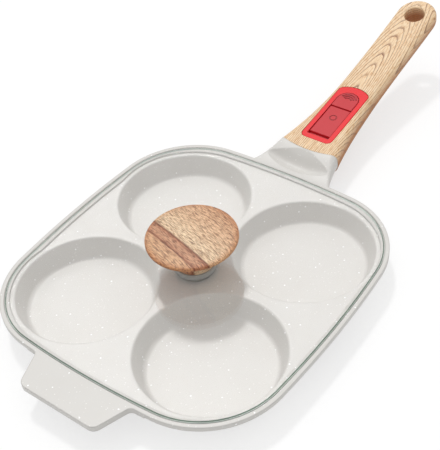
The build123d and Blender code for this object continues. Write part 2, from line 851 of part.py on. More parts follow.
# Release cover with its window, front hook and rear screw bosses
with BuildPart() as release_cover:
    with BuildSketch(handle_plane.offset(-cover_thickness)):
        add(cover_outline(0))
    extrude(amount=cover_thickness)
    cover_top = release_cover.faces().sort_by(Axis(handle_plane.origin, handle_up))[-1]
    fillet(cover_top.edges(), cover_edge_round)
    with BuildSketch(handle_plane.offset(-cover_thickness)):
        with Locations((0, cover_front_reach - cover_hook_length)):
            Rectangle(2 * cover_hook_half_width, 2 * cover_hook_length, align=(Align.CENTER, Align.MIN))
    extrude(amount=cover_hook_thickness)
    with BuildSketch(handle_plane.offset(-cover_thickness - cover_boss_length)):
        with Locations(*cover_boss_places):
            Circle(cover_boss_radius)
    extrude(amount=cover_boss_length)
    with BuildSketch(handle_plane.offset(-cover_thickness - cover_boss_length)):
        with Locations(*cover_boss_places):
            Circle(cover_screw_radius + thread_gap)
    extrude(amount=cover_boss_length, mode=Mode.SUBTRACT)
    with BuildSketch(handle_plane.offset(-cover_thickness)):
        add(tombstone(window_half_width, window_front_reach, window_dome_reach))
    extrude(amount=cover_thickness, mode=Mode.SUBTRACT)

save(release_cover.part, "release_cover")

# Two screws from the belly of the grip into the cover's bosses
with BuildPart() as cover_screws:
    with BuildSketch(handle_plane.offset(-cover_screw_seat_depth)):
        with Locations(*cover_boss_places):
            Circle(cover_screw_head_radius)
    extrude(amount=-cover_screw_head_height)
    with BuildSketch(handle_plane.offset(-cover_screw_seat_depth)):
        with Locations(*cover_boss_places):
            Circle(cover_screw_radius)
    extrude(amount=cover_screw_seat_depth - cover_thickness - cover_boss_length + cover_screw_bite)

save(cover_screws.part, "cover_screws")

# Sliding latch: thumb plate, flange with an apron that closes the window, and two slotted cheeks
with BuildPart() as slide_latch:
    with BuildSketch(handle_plane.offset(-latch_flange_bottom)):
        with Locations((0, latch_front_reach)):
            Rectangle(
                2 * latch_half_width,
                latch_rear_reach - latch_front_reach,
                align=(Align.CENTER, Align.MIN),
            )
    extrude(amount=latch_flange_bottom - latch_top_drop)
    latch_top = slide_latch.faces().sort_by(Axis(handle_plane.origin, handle_up))[-1]
    fillet(latch_top.edges(), latch_edge_round)
    with BuildSketch(handle_plane.offset(-latch_top_drop - groove_depth)):
        with Locations((0, latch_ring_reach)):
            Circle(latch_ring_radius)
            Circle(latch_ring_radius - latch_ring_width, mode=Mode.SUBTRACT)
    extrude(amount=overrun, mode=Mode.SUBTRACT)
    with BuildSketch(handle_plane.offset(-latch_flange_bottom)):
        with Locations((0, latch_apron_reach)):
            Rectangle(
                2 * (window_half_width + latch_flange_overlap),
                latch_rear_reach - latch_apron_reach,
                align=(Align.CENTER, Align.MIN),
            )
    extrude(amount=latch_flange_thickness)
    with BuildSketch(handle_plane.offset(-liner_top + running_gap)):
        for side in (-1, 1):
            with Locations((side * (cheek_inner_half_width + cheek_thickness / 2), cheek_front_reach)):
                Rectangle(
                    cheek_thickness,
                    cheek_rear_reach - cheek_front_reach,
                    align=(Align.CENTER, Align.MIN),
                )
    extrude(amount=liner_top - running_gap - latch_flange_bottom)
    with BuildSketch(handle_side_plane.offset(-overrun)):
        with Locations(pin_slot_middle):
            SlotCenterToCenter(pin_slot_run, 2 * (pin_radius + pin_slot_gap), rotation=-pin_slot_angle)
    extrude(amount=2 * overrun, mode=Mode.SUBTRACT)

save(slide_latch.part, "slide_latch")

# Latch bolt and the cross pin that the slotted cheeks drive
with BuildPart() as latch_bolt:
    with BuildSketch(handle_plane.offset(-bolt_bottom)):
        with Locations((0, bolt_reach)):
            Rectangle(2 * bolt_half_width, 2 * bolt_half_length)
    extrude(amount=bolt_bottom - bolt_top)
    bolt_tip = latch_bolt.faces().sort_by(Axis(handle_plane.origin, handle_up))[0]
    chamfer(bolt_tip.edges(), bolt_edge_chamfer)
    with BuildSketch(handle_side_plane.offset(-overrun)):
        with Locations((bolt_reach, -pin_rest_depth)):
            Circle(pin_radius)
    extrude(amount=2 * overrun, mode=Mode.SUBTRACT)

save(latch_bolt.part, "latch_bolt")

with BuildPart() as bolt_pin:
    with BuildSketch(handle_side_plane.offset(-cheek_inner_half_width - cheek_thickness)):
        with Locations((bolt_reach, -pin_rest_depth)):
            Circle(pin_radius)
    extrude(amount=2 * (cheek_inner_half_width + cheek_thickness))

save(bolt_pin.part, "bolt_pin")

# Push button: ribbed thumb pad, flange under the cover and a stub for its spring
with BuildPart() as lock_button:
    with BuildSketch(handle_plane.offset(-latch_flange_bottom)):
        add(tombstone(latch_half_width, button_front_reach, window_dome_reach))
    extrude(amount=latch_flange_bottom + button_rise)
    button_top = lock_button.faces().sort_by(Axis(handle_plane.origin, handle_up))[-1]
    fillet(button_top.edges(), button_edge_round)
    with BuildSketch(handle_plane.offset(button_rise)):
        for share in button_rib_radii_shares:
            rib_radius = latch_half_width * share
            add(grip_rib(rib_radius))
    extrude(amount=button_rib_height)
    with BuildSketch(handle_plane.offset(-latch_flange_bottom)):
        add(tombstone(window_half_width + button_flange_overlap, button_front_reach, window_dome_reach))
    extrude(amount=latch_flange_thickness)
    with BuildSketch(handle_plane.offset(-latch_flange_bottom - spring_stub_length)):
        with Locations((0, window_dome_reach)):
            Circle(spring_outer_radius - spring_wall - spring_stub_gap)
    extrude(amount=spring_stub_length)

save(lock_button.part, "lock_button")

# Return spring of the button, standing on the pocket's floor
with BuildPart() as button_spring:
    with BuildSketch(handle_plane.offset(-pocket_depth)):
        with Locations((0, window_dome_reach)):
            Circle(spring_outer_radius)
            Circle(spring_outer_radius - spring_wall, mode=Mode.SUBTRACT)
    extrude(amount=pocket_depth - latch_flange_bottom - spring_top_gap)

save(button_spring.part, "button_spring")
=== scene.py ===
"""Looks of the four-well egg pan: finishes, small modelled pieces, light and camera.

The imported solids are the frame. Each of them gets the finish of its real material, the
return spring is wound as a real coil, and the pan stands on a pale studio floor. Lengths
held by the classes are in millimetres, and the shaders work in metres.
"""

import logging
import math
from dataclasses import dataclass, field
from enum import Enum

import bmesh
import bpy
from mathutils import Matrix, Vector


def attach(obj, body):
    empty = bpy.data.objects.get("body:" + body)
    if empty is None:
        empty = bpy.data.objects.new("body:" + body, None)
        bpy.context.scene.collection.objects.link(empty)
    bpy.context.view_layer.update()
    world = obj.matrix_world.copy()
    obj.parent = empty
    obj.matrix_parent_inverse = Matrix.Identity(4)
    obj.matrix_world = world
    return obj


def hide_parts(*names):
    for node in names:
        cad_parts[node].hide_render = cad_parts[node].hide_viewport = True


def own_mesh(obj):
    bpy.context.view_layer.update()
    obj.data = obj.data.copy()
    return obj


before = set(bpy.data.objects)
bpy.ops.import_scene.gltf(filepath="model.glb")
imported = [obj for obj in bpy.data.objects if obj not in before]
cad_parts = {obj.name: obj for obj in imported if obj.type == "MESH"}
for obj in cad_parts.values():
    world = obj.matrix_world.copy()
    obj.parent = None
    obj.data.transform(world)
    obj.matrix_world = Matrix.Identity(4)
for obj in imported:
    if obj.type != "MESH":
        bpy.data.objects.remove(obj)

log = logging.getLogger("egg_pan")

MM = 0.001
# The handle's joint in the row's frame, in millimetres, and the handle's climb in degrees
JOINT_Y = 140.0
JOINT_Z = 29.2
HANDLE_TILT = 7.2
# How strongly each finer octave counts in a noise
NOISE_ROUGHNESS = 0.55
# Rays that look for an edge to round, and for a groove or an edge to darken with painted shade
EDGE_SAMPLES = 6
SHADE_SAMPLES = 8

NodeTree = bpy.types.NodeTree
Socket = bpy.types.NodeSocket
Stops = tuple[tuple[float, str], ...]


def linear(colour: str) -> tuple[float, float, float, float]:
    """Turn an sRGB hex colour into the linear values that shaders work with.

    Args:
        colour: Six hex digits after a hash sign.

    Returns:
        Red, green, blue and full opacity.
    """
    channels = [int(colour[start:start + 2], 16) / 255 for start in (1, 3, 5)]
    light = [c / 12.92 if c <= 0.04045 else ((c + 0.055) / 1.055) ** 2.4 for c in channels]
    return (light[0], light[1], light[2], 1.0)


def add_node(
    tree: NodeTree, kind: str, settings: dict | None = None, sockets: dict | None = None
) -> bpy.types.Node:
    """Add a shader node with its settings, its socket values and its incoming links.

    Args:
        tree: The material's or world's node tree.
        kind: Blender's name of the node type.
        settings: Attributes of the node. The key "stops" holds a ramp's places and colours.
        sockets: Input sockets by name or number, each with a value, a hex colour or an
            output socket to link from.

    Returns:
        The new node.
    """
    made = tree.nodes.new(kind)
    for name, value in (settings or {}).items():
        if name != "stops":
            setattr(made, name, value)
            continue
        elements = made.color_ramp.elements
        while len(elements) < len(value):
            elements.new(1.0)
        for element, (place, colour) in zip(elements, value):
            element.position = place
            element.color = linear(colour)
    for name, value in (sockets or {}).items():
        if isinstance(value, bpy.types.NodeSocket):
            tree.links.new(value, made.inputs[name])
        elif isinstance(value, str):
            made.inputs[name].default_value = linear(value)
        else:
            made.inputs[name].default_value = value
    return made


def calculate(tree: NodeTree, operation: str, *values: Socket | float) -> Socket:
    """Add a maths node.

    Args:
        tree: The node tree to add it to.
        operation: Blender's name of the operation.
        values: The operands in their order, each a number or an output socket.

    Returns:
        The result.
    """
    return add_node(tree, "ShaderNodeMath", {"operation": operation}, dict(enumerate(values))).outputs[0]


def mix(
    tree: NodeTree, share: Socket | float, under: Socket | str, over: Socket | str, blend: str = "MIX"
) -> Socket:
    """Add a mix of two colours.

    Args:
        tree: The node tree to add it to.
        share: How much the second colour counts, from 0 to 1.
        under: The first colour, in hex digits or from an output socket.
        over: The second colour, in hex digits or from an output socket.
        blend: Blender's name of the way that the colours are mixed.

    Returns:
        The mixed colour.
    """
    made = add_node(
        tree,
        "ShaderNodeMix",
        {"data_type": "RGBA", "blend_type": blend},
        {"Factor": share, "A": under, "B": over},
    )
    return made.outputs["Result"]


class Scaling(Enum):
    """How far a pattern is drawn out, as shares of its pitch along X, Y and Z."""

    EVEN = (1.0, 1.0, 1.0)
    ALONG_HANDLE = (1.0, 0.07, 1.0)
    ALONG_KNOB_GRAIN = (0.075, 1.0, 0.6)


@dataclass(frozen=True)
class Finish:
    """A surface finish that becomes one node material."""

    name: str

    def build(self) -> bpy.types.Material:
        """Make the material from this finish.

        Returns:
            The finished material.
        """
        material = bpy.data.materials.new(self.name)
        material.use_nodes = True
        tree = material.node_tree
        tree.nodes.clear()
        place = add_node(tree, "ShaderNodeTexCoord").outputs["Object"]
        surface = self.surface(tree, place)
        add_node(tree, "ShaderNodeOutputMaterial", sockets={"Surface": surface})
        return material

    def surface(self, tree: NodeTree, place: Socket) -> Socket:
        """Add the nodes of the surface.

        Args:
            tree: The material's node tree.
            place: The point on the object, in metres.

        Returns:
            The shader's output socket.
        """
        raise NotImplementedError

    def noise(self, tree: NodeTree, place: Socket, pitch: float, scaling: Scaling, detail: float) -> Socket:
        """Add a drawn-out noise with a real pitch.

        Args:
            tree: The material's node tree.
            place: The point to read the noise at, in metres.
            pitch: Width of one grain across the pattern, in millimetres.
            scaling: How far the pattern is drawn out.
            detail: Octaves of finer grain.

        Returns:
            The noise as a value from 0 to 1.
        """
        per_metre = 1 / (pitch * MM)
        spread = add_node(
            tree,
            "ShaderNodeVectorMath",
            {"operation": "MULTIPLY"},
            {0: place, 1: [share * per_metre for share in scaling.value]},
        )
        grain = add_node(
            tree,
            "ShaderNodeTexNoise",
            sockets={
                "Vector": spread.outputs[0],
                "Scale": 1.0,
                "Detail": detail,
                "Roughness": NOISE_ROUGHNESS,
            },
        )
        return grain.outputs["Fac"]

    def relief(self, tree: NodeTree, height: Socket, depth: float, edge: float) -> Socket:
        """Add a fine relief over softly rounded edges.

        Args:
            tree: The material's node tree.
            height: The relief's height, from 0 to 1.
            depth: The relief's real depth, in millimetres.
            edge: Radius that the eye sees on the edges, in millimetres.

        Returns:
            The surface normal.
        """
        rounded = add_node(tree, "ShaderNodeBevel", {"samples": EDGE_SAMPLES}, {"Radius": edge * MM})
        bump = add_node(
            tree,
            "ShaderNodeBump",
            sockets={
                "Strength": 1.0,
                "Distance": depth * MM,
                "Height": height,
                "Normal": rounded.outputs[0],
            },
        )
        return bump.outputs[0]


@dataclass(frozen=True)
class CeramicCoat(Finish):
    """Sprayed sol-gel ceramic coating over cast aluminium, fired to a satin skin.

    The spray leaves a faint orange peel, and the mineral flakes in it show as sparse
    white specks over a finer white dust.
    """

    base: str = "#d9d7d3"
    cloud: str = "#d5d2cd"
    white_speck: str = "#ffffff"
    dust_speck: str = "#eceae7"
    roughness: float = 0.42
    speck_pitch: float = 5.5
    speck_radius: float = 0.72
    speck_share: float = 0.5
    dust_pitch: float = 2.8
    dust_radius: float = 0.46
    dust_share: float = 0.85
    cloud_pitch: float = 22.0
    peel_pitch: float = 1.1
    peel_depth: float = 0.02
    edge: float = 1.3
    # Share of a speck's radius inside which it is full
    speck_core: float = 0.6
    ior: float = 1.46

    def specks(self, tree: NodeTree, place: Socket, pitch: float, radius: float, share: float) -> Socket:
        """Add sparse round specks.

        Args:
            tree: The material's node tree.
            place: The point on the object, in metres.
            pitch: Spacing of the cells that may hold a speck, in millimetres.
            radius: Radius of a speck, in millimetres.
            share: Share of the cells that hold one.

        Returns:
            1 inside a speck and 0 outside.
        """
        cells = add_node(
            tree,
            "ShaderNodeTexVoronoi",
            {"feature": "F1", "distance": "EUCLIDEAN"},
            {"Vector": place, "Scale": 1 / (pitch * MM), "Randomness": 1.0},
        )
        cell_colour = add_node(tree, "ShaderNodeSeparateColor", sockets={0: cells.outputs["Color"]})
        chosen = calculate(tree, "LESS_THAN", cell_colour.outputs[0], share)
        near = add_node(
            tree,
            "ShaderNodeMapRange",
            sockets={
                "Value": cells.outputs["Distance"],
                "From Min": radius / pitch,
                "From Max": self.speck_core * radius / pitch,
            },
        )
        return calculate(tree, "MULTIPLY", chosen, near.outputs[0])

    def surface(self, tree: NodeTree, place: Socket) -> Socket:
        """Add the coating's clouds, specks and orange peel.

        Args:
            tree: The material's node tree.
            place: The point on the object, in metres.

        Returns:
            The shader's output socket.
        """
        clouds = self.noise(tree, place, self.cloud_pitch, Scaling.EVEN, detail=3.0)
        skin = mix(tree, clouds, self.cloud, self.base)
        white = self.specks(tree, place, self.speck_pitch, self.speck_radius, self.speck_share)
        dust = self.specks(tree, place, self.dust_pitch, self.dust_radius, self.dust_share)
        with_dust = mix(tree, dust, skin, self.dust_speck)
        with_white = mix(tree, white, with_dust, self.white_speck)
        peel = self.noise(tree, place, self.peel_pitch, Scaling.EVEN, detail=2.0)
        shader = add_node(
            tree,
            "ShaderNodeBsdfPrincipled",
            sockets={
                "Base Color": with_white,
                "Roughness": self.roughness,
                "IOR": self.ior,
                "Normal": self.relief(tree, peel, self.peel_depth, self.edge),
            },
        )
        return shader.outputs[0]


@dataclass(frozen=True)
class TemperedGlass(Finish):
    """Tempered soda-lime float glass with a ground and seamed edge.

    Iron in the glass tints the ground edge pale green and its upper seam dark green, and
    the faces stay clear.
    """

    face_tint: str = "#ffffff"
    edge: str = "#e2f5ec"
    seam: str = "#35503f"
    shadow_tint: str = "#ffffff"
    ior: float = 1.5
    roughness: float = 0.0
    edge_roughness: float = 0.3
    flatness: float = 0.995
    seam_foot: float = 23.35
    edge_clearness: float = 0.85

    def surface(self, tree: NodeTree, place: Socket) -> Socket:
        """Add the clear faces, the green edge and the way that lamps shine through.

        Args:
            tree: The material's node tree.
            place: The point on the object, in metres.

        Returns:
            The shader's output socket.
        """
        facing = add_node(tree, "ShaderNodeTexCoord").outputs["Normal"]
        upright = add_node(tree, "ShaderNodeSeparateXYZ", sockets={0: facing}).outputs["Z"]
        steep = calculate(tree, "ABSOLUTE", upright)
        is_edge = calculate(tree, "LESS_THAN", steep, self.flatness)
        clear = add_node(
            tree,
            "ShaderNodeBsdfPrincipled",
            sockets={
                "Base Color": self.face_tint,
                "Roughness": self.roughness,
                "IOR": self.ior,
                "Transmission Weight": 1.0,
            },
        )
        seen_through = add_node(tree, "ShaderNodeBsdfTransparent", sockets={"Color": self.shadow_tint})
        path = add_node(tree, "ShaderNodeLightPath")
        lamps = calculate(tree, "MAXIMUM", path.outputs["Is Shadow Ray"], path.outputs["Is Diffuse Ray"])
        height = add_node(tree, "ShaderNodeSeparateXYZ", sockets={0: place}).outputs["Z"]
        is_seam = calculate(tree, "GREATER_THAN", height, self.seam_foot * MM)
        green = mix(tree, is_seam, self.edge, self.seam)
        ground = add_node(
            tree,
            "ShaderNodeBsdfPrincipled",
            sockets={
                "Base Color": green,
                "Roughness": self.edge_roughness,
                "IOR": self.ior,
                "Transmission Weight": self.edge_clearness,
            },
        )
        solid = add_node(
            tree,
            "ShaderNodeMixShader",
            sockets={0: is_edge, 1: clear.outputs[0], 2: ground.outputs[0]},
        )
        whole = add_node(
            tree,
            "ShaderNodeMixShader",
            sockets={0: lamps, 1: solid.outputs[0], 2: seen_through.outputs[0]},
        )
        return whole.outputs[0]


@dataclass(frozen=True)
class OiledAsh(Finish):
    """Flat-sawn ash, shaped and sanded, with an oil finish.

    The saw cuts the growth rings at a shallow angle, which draws nested arches along the
    grip. Each ring starts with a dark band of open pores and fades to pale late wood, and
    the sides below the crest are darkened with painted shade.
    """

    late_wood: str = "#f4dab6"
    early_wood: str = "#7c4222"
    # Colour multiplied over the sides as painted shade
    side_painted_shade: str = "#c0905a"
    crest_radius: float = 1100.0
    crest_low_reach: float = 42.0
    ring_pitch: float = 2.2
    ring_flatness: float = 1.5
    ring_axis_x: float = -1.8
    ring_axis_depth: float = -2.2
    ring_axis_slope: float = 0.11
    wander: float = 3.0
    wander_pitch: float = 18.0
    jag: float = 0.75
    jag_pitch: float = 2.0
    pore_pitch: float = 0.5
    faintest_ring: float = 0.5
    side_drop: float = 2.0
    side_foot: float = 9.0
    side_ring_share: float = 0.35
    pore_share: float = 0.85
    pore_depth: float = 0.05
    edge: float = 0.5
    roughness: float = 0.5
    ior: float = 1.47
    season_stops: Stops = (
        (0.0, "#000000"),
        (0.05, "#ffffff"),
        (0.16, "#d0d0d0"),
        (0.34, "#505050"),
        (0.75, "#000000"),
    )
    pore_stops: Stops = ((0.34, "#d8b794"), (0.46, "#f5e8d8"), (0.58, "#ffffff"))

    def surface(self, tree: NodeTree, place: Socket) -> Socket:
        """Add the rings, the pores, the painted shade on the sides and the oiled sheen.

        Args:
            tree: The material's node tree.
            place: The point on the object, in metres.

        Returns:
            The shader's output socket.
        """
        moved = add_node(
            tree,
            "ShaderNodeVectorMath",
            {"operation": "SUBTRACT"},
            {0: place, 1: (0.0, JOINT_Y * MM, JOINT_Z * MM)},
        )
        level = add_node(
            tree,
            "ShaderNodeVectorRotate",
            {"rotation_type": "X_AXIS"},
            {"Vector": moved.outputs[0], "Angle": -math.radians(HANDLE_TILT)},
        ).outputs[0]
        across = add_node(tree, "ShaderNodeSeparateXYZ", sockets={0: level})
        wander = self.noise(tree, level, self.wander_pitch, Scaling.ALONG_HANDLE, detail=1.5)
        jag = self.noise(tree, level, self.jag_pitch, Scaling.ALONG_HANDLE, detail=1.0)
        ring_x = self.summed(
            tree,
            across.outputs["X"],
            self.ring_flatness,
            -self.ring_flatness * self.ring_axis_x * MM,
            wander,
            self.ring_flatness * self.wander,
        )
        climb = calculate(
            tree, "MULTIPLY_ADD", across.outputs["Y"], self.ring_axis_slope, across.outputs["Z"]
        )
        ring_z = self.summed(tree, climb, 1.0, self.ring_axis_depth * MM, jag, self.jag)
        from_axis = add_node(tree, "ShaderNodeCombineXYZ", sockets={"X": ring_x, "Z": ring_z})
        radius = add_node(tree, "ShaderNodeVectorMath", {"operation": "LENGTH"}, {0: from_axis.outputs[0]})
        rings = calculate(tree, "MULTIPLY", radius.outputs["Value"], 1 / (self.ring_pitch * MM))
        season = calculate(tree, "FRACT", rings)
        early = add_node(tree, "ShaderNodeValToRGB", {"stops": self.season_stops}, {0: season})
        year = calculate(tree, "FLOOR", rings)
        growth = add_node(tree, "ShaderNodeTexWhiteNoise", {"noise_dimensions": "1D"}, {"W": year})
        drought = add_node(
            tree,
            "ShaderNodeMapRange",
            sockets={"Value": growth.outputs["Value"], "To Min": self.faintest_ring, "To Max": 1.0},
        )
        porous = calculate(tree, "MULTIPLY", early.outputs[0], drought.outputs[0])
        down = add_node(
            tree,
            "ShaderNodeMapRange",
            sockets={
                "Value": self.under_crest(tree, across),
                "From Min": self.side_drop * MM,
                "From Max": self.side_foot * MM,
            },
        )
        crown_share = add_node(
            tree,
            "ShaderNodeMapRange",
            sockets={"Value": down.outputs[0], "To Min": 1.0, "To Max": self.side_ring_share},
        )
        shown = calculate(tree, "MULTIPLY", porous, crown_share.outputs[0])
        wood = mix(tree, shown, self.late_wood, self.early_wood)
        pores = self.noise(tree, level, self.pore_pitch, Scaling.ALONG_HANDLE, detail=2.0)
        pore_shade = add_node(tree, "ShaderNodeValToRGB", {"stops": self.pore_stops}, {0: pores})
        pored = mix(tree, self.pore_share, wood, pore_shade.outputs[0], "MULTIPLY")
        # Painted shade: the sides below the crest are multiplied darker
        grained = mix(tree, down.outputs[0], pored, self.side_painted_shade, "MULTIPLY")
        shader = add_node(
            tree,
            "ShaderNodeBsdfPrincipled",
            sockets={
                "Base Color": grained,
                "Roughness": self.roughness,
                "IOR": self.ior,
                "Normal": self.relief(tree, pores, self.pore_depth, self.edge),
            },
        )
        return shader.outputs[0]

    def under_crest(self, tree: NodeTree, local: bpy.types.Node) -> Socket:
        """Depth under the grip's crest, which climbs towards the hang hole.

        Args:
            tree: The material's node tree.
            local: Node that gives the place in the handle's frame.

        Returns:
            The depth, in metres.
        """
        run = calculate(tree, "SUBTRACT", local.outputs["Y"], self.crest_low_reach * MM)
        square = calculate(tree, "MULTIPLY", run, run)
        crest = calculate(tree, "DIVIDE", square, 2 * self.crest_radius * MM)
        return calculate(tree, "SUBTRACT", crest, local.outputs["Z"])

    def summed(
        self, tree: NodeTree, value: Socket, share: float, start: float, noise: Socket, swing: float
    ) -> Socket:
        """Add a length, a start and a noise that swings to both sides.

        Args:
            tree: The material's node tree.
            value: The length, in metres.
            share: What the length is multiplied by.
            start: A constant to add, in metres.
            noise: A noise from 0 to 1.
            swing: Full swing of the noise, in millimetres.

        Returns:
            The sum, in metres.
        """
        scaled = calculate(tree, "MULTIPLY_ADD", value, share, start - swing * MM / 2)
        return calculate(tree, "MULTIPLY_ADD", noise, swing * MM, scaled)


@dataclass(frozen=True)
class TurnedAcacia(Finish):
    """Acacia turned on a lathe, sanded and oiled.

    Its heartwood runs in straight stripes with short dark pores, and the colour is darker
    towards the rim.
    """

    grain_angle: float = -14.0
    half_width: float = 32.0
    fleck_pitch: float = 0.36
    fine_pitch: float = 0.24
    wander: float = 1.6
    wander_pitch: float = 9.0
    rim_shade: str = "#f0d8c4"
    rim_start: float = 27.5
    rim_full: float = 31.8
    fleck_share: float = 0.75
    fleck_depth: float = 0.08
    fine_share: float = 0.5
    edge: float = 0.4
    roughness: float = 0.48
    ior: float = 1.47
    stripe_stops: Stops = (
        (0.00, "#d6a67c"),
        (0.10, "#e2ba92"),
        (0.215, "#deb38c"),
        (0.230, "#96583c"),
        (0.248, "#cf9c7a"),
        (0.30, "#d8a987"),
        (0.345, "#c6906e"),
        (0.362, "#84482c"),
        (0.384, "#efd6b2"),
        (0.46, "#f3dcba"),
        (0.58, "#eed0ac"),
        (0.70, "#e9c6a2"),
        (0.84, "#e5bd98"),
        (1.00, "#d8a880"),
    )
    fleck_stops: Stops = ((0.38, "#5a2e1c"), (0.46, "#b98a68"), (0.51, "#ffffff"), (0.70, "#fffaf4"))
    fine_stops: Stops = ((0.30, "#b08a66"), (0.50, "#ffffff"))

    def surface(self, tree: NodeTree, place: Socket) -> Socket:
        """Add the stripes, the pores and the darker rim.

        Args:
            tree: The material's node tree.
            place: The point on the object, in metres.

        Returns:
            The shader's output socket.
        """
        turned = add_node(
            tree,
            "ShaderNodeVectorRotate",
            {"rotation_type": "Z_AXIS"},
            {"Vector": place, "Angle": -math.radians(self.grain_angle)},
        ).outputs[0]
        across = add_node(tree, "ShaderNodeSeparateXYZ", sockets={0: turned})
        wander = self.noise(tree, turned, self.wander_pitch, Scaling.ALONG_KNOB_GRAIN, detail=2.0)
        swing = calculate(tree, "MULTIPLY_ADD", wander, self.wander * MM, across.outputs["Y"])
        stripe_place = add_node(
            tree,
            "ShaderNodeMapRange",
            sockets={
                "Value": swing,
                "From Min": -self.half_width * MM,
                "From Max": self.half_width * MM,
            },
        )
        stripes = add_node(
            tree, "ShaderNodeValToRGB", {"stops": self.stripe_stops}, {0: stripe_place.outputs[0]}
        )
        flecks = self.noise(tree, turned, self.fleck_pitch, Scaling.ALONG_KNOB_GRAIN, detail=2.0)
        fleck_shade = add_node(tree, "ShaderNodeValToRGB", {"stops": self.fleck_stops}, {0: flecks})
        fine = self.noise(tree, turned, self.fine_pitch, Scaling.ALONG_KNOB_GRAIN, detail=1.0)
        fine_shade = add_node(tree, "ShaderNodeValToRGB", {"stops": self.fine_stops}, {0: fine})
        pored = mix(tree, self.fleck_share, stripes.outputs[0], fleck_shade.outputs[0], "MULTIPLY")
        grained = mix(tree, self.fine_share, pored, fine_shade.outputs[0], "MULTIPLY")
        flat = add_node(
            tree, "ShaderNodeVectorMath", {"operation": "MULTIPLY"}, {0: place, 1: (1.0, 1.0, 0.0)}
        )
        radius = add_node(tree, "ShaderNodeVectorMath", {"operation": "LENGTH"}, {0: flat.outputs[0]})
        rim = add_node(
            tree,
            "ShaderNodeMapRange",
            sockets={
                "Value": radius.outputs["Value"],
                "From Min": self.rim_start * MM,
                "From Max": self.rim_full * MM,
            },
        )
        oiled = mix(tree, rim.outputs[0], grained, self.rim_shade, "MULTIPLY")
        shader = add_node(
            tree,
            "ShaderNodeBsdfPrincipled",
            sockets={
                "Base Color": oiled,
                "Roughness": self.roughness,
                "IOR": self.ior,
                "Normal": self.relief(tree, flecks, self.fleck_depth, self.edge),
            },
        )
        return shader.outputs[0]


@dataclass(frozen=True)
class MouldedPlastic(Finish):
    """Injection-moulded plastic from a spark-eroded mould.

    The mould leaves a fine even grain that keeps the gloss soft, and the colour is mixed
    through the plastic. Painted shade darkens its grooves, recesses and edges.
    """

    colour: str = "#ee1722"
    deep: str = "#e5141f"
    # Colour of the painted shade in grooves, recesses and along edges
    groove_painted_shade: str = "#7a0f16"
    groove_reach: float = 0.5
    groove_open: float = 0.7
    groove_shut: float = 0.3
    groove_shade_strength: float = 0.7
    edge_line: float = 0.7
    edge_flush: float = 0.995
    edge_creased: float = 0.90
    edge_shade_strength: float = 0.9
    flow_pitch: float = 14.0
    roughness: float = 0.42
    ior: float = 1.53
    specular: float = 0.35
    # Real spark grain is about 0.1 mm, drawn coarser so that it shows
    grain_pitch: float = 0.5
    grain_depth: float = 0.03
    edge: float = 0.25

    def surface(self, tree: NodeTree, place: Socket) -> Socket:
        """Add the mixed-in colour, the painted shade in grooves and on edges, and the mould's grain.

        Args:
            tree: The material's node tree.
            place: The point on the object, in metres.

        Returns:
            The shader's output socket.
        """
        flow = self.noise(tree, place, self.flow_pitch, Scaling.EVEN, detail=2.0)
        tone = mix(tree, flow, self.deep, self.colour)
        # Painted shade: the colour darkens in grooves and recesses and along edges, where shade falls
        openness = add_node(
            tree,
            "ShaderNodeAmbientOcclusion",
            {"samples": SHADE_SAMPLES},
            {"Distance": self.groove_reach * MM},
        )
        shut = add_node(
            tree,
            "ShaderNodeMapRange",
            sockets={
                "Value": openness.outputs["AO"],
                "From Min": self.groove_open,
                "From Max": self.groove_shut,
                "To Max": self.groove_shade_strength,
            },
        )
        turned = add_node(
            tree, "ShaderNodeBevel", {"samples": SHADE_SAMPLES}, {"Radius": self.edge_line * MM}
        )
        true_normal = add_node(tree, "ShaderNodeNewGeometry").outputs["True Normal"]
        flush = add_node(
            tree,
            "ShaderNodeVectorMath",
            {"operation": "DOT_PRODUCT"},
            {0: turned.outputs[0], 1: true_normal},
        )
        creased = add_node(
            tree,
            "ShaderNodeMapRange",
            sockets={
                "Value": flush.outputs["Value"],
                "From Min": self.edge_flush,
                "From Max": self.edge_creased,
                "To Max": self.edge_shade_strength,
            },
        )
        held = calculate(tree, "MAXIMUM", shut.outputs[0], creased.outputs[0])
        painted_shade_tone = mix(tree, held, tone, self.groove_painted_shade)
        grain = self.noise(tree, place, self.grain_pitch, Scaling.EVEN, detail=2.0)
        shader = add_node(
            tree,
            "ShaderNodeBsdfPrincipled",
            sockets={
                "Base Color": painted_shade_tone,
                "Roughness": self.roughness,
                "IOR": self.ior,
                "Specular IOR Level": self.specular,
                "Normal": self.relief(tree, grain, self.grain_depth, self.edge),
            },
        )
        return shader.outputs[0]


@dataclass(frozen=True)
class MouldedSilicone(Finish):
    """Compression-moulded silicone rubber.

    It is soft and dull, with a dusty bloom that lightens grazing faces.
    """

    colour: str = "#a9a8a4"
    deep: str = "#9b9a96"
    roughness: float = 0.62
    see_through: float = 0.0
    sheen: float = 0.2
    ior: float = 1.41
    mottle_pitch: float = 3.0
    mottle_depth: float = 0.02
    edge: float = 0.4

    def surface(self, tree: NodeTree, place: Socket) -> Socket:
        """Add the rubber's bloom and its faint mottling.

        Args:
            tree: The material's node tree.
            place: The point on the object, in metres.

        Returns:
            The shader's output socket.
        """
        mottle = self.noise(tree, place, self.mottle_pitch, Scaling.EVEN, detail=2.0)
        tone = mix(tree, mottle, self.deep, self.colour)
        shader = add_node(
            tree,
            "ShaderNodeBsdfPrincipled",
            sockets={
                "Base Color": tone,
                "Roughness": self.roughness,
                "IOR": self.ior,
                "Transmission Weight": self.see_through,
                "Sheen Weight": self.sheen,
                "Normal": self.relief(tree, mottle, self.mottle_depth, self.edge),
            },
        )
        return shader.outputs[0]


